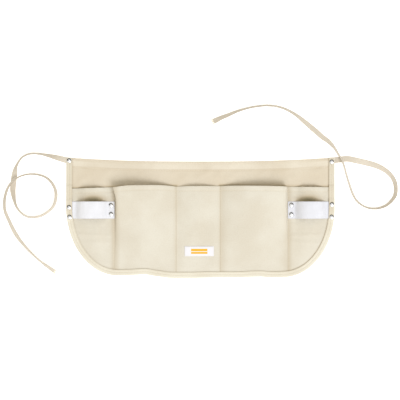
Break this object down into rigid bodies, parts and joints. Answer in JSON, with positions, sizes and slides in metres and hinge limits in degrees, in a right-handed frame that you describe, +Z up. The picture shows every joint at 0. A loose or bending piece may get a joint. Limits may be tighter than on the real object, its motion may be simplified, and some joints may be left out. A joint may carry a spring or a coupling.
{
  "type": "carpenter nail apron",
  "caption": "Canvas waist apron laid flat, with open tool pockets across its front, webbing hammer loops at the sides, bound edges, rivets and long tie tapes.",
  "frame": {"origin": "middle of the apron's outline, without its ties, on the surface that it lies on", "axes": "+X to the right of someone who looks down at the pockets, +Y towards the waist edge, +Z up from the surface, out of the pocket side"},
  "size_m": [0.8228, 0.3626, 0.0264],
  "materials": {
    "canvas": "natural cream cotton canvas, plain weave, matt",
    "binding": "natural cotton twill tape, folded and sewn",
    "webbing": "white cotton webbing with a fine vertical rib",
    "label": "white woven patch with two plain orange stripes",
    "tie_tape": "natural cotton twill tape",
    "nickel": "polished nickel-plated rivet"
  },
  "bodies": {
    "root": {"body_panel": "canvas", "edge_binding": "binding", "left_side_pocket": "canvas", "right_side_pocket": "canvas", "left_tool_pocket": "canvas", "right_tool_pocket": "canvas", "centre_pocket": "canvas", "left_hammer_loop": "webbing", "right_hammer_loop": "webbing", "label_patch": "label", "left_corner_rivet": "nickel", "right_corner_rivet": "nickel", "left_loop_rivet_outer_top": "nickel", "left_loop_rivet_outer_bottom": "nickel", "left_loop_rivet_inner_top": "nickel", "left_loop_rivet_inner_bottom": "nickel", "right_loop_rivet_outer_top": "nickel", "right_loop_rivet_outer_bottom": "nickel", "right_loop_rivet_inner_top": "nickel", "right_loop_rivet_inner_bottom": "nickel", "left_tie": "tie_tape", "right_tie": "tie_tape"}
  },
  "joints": []
}
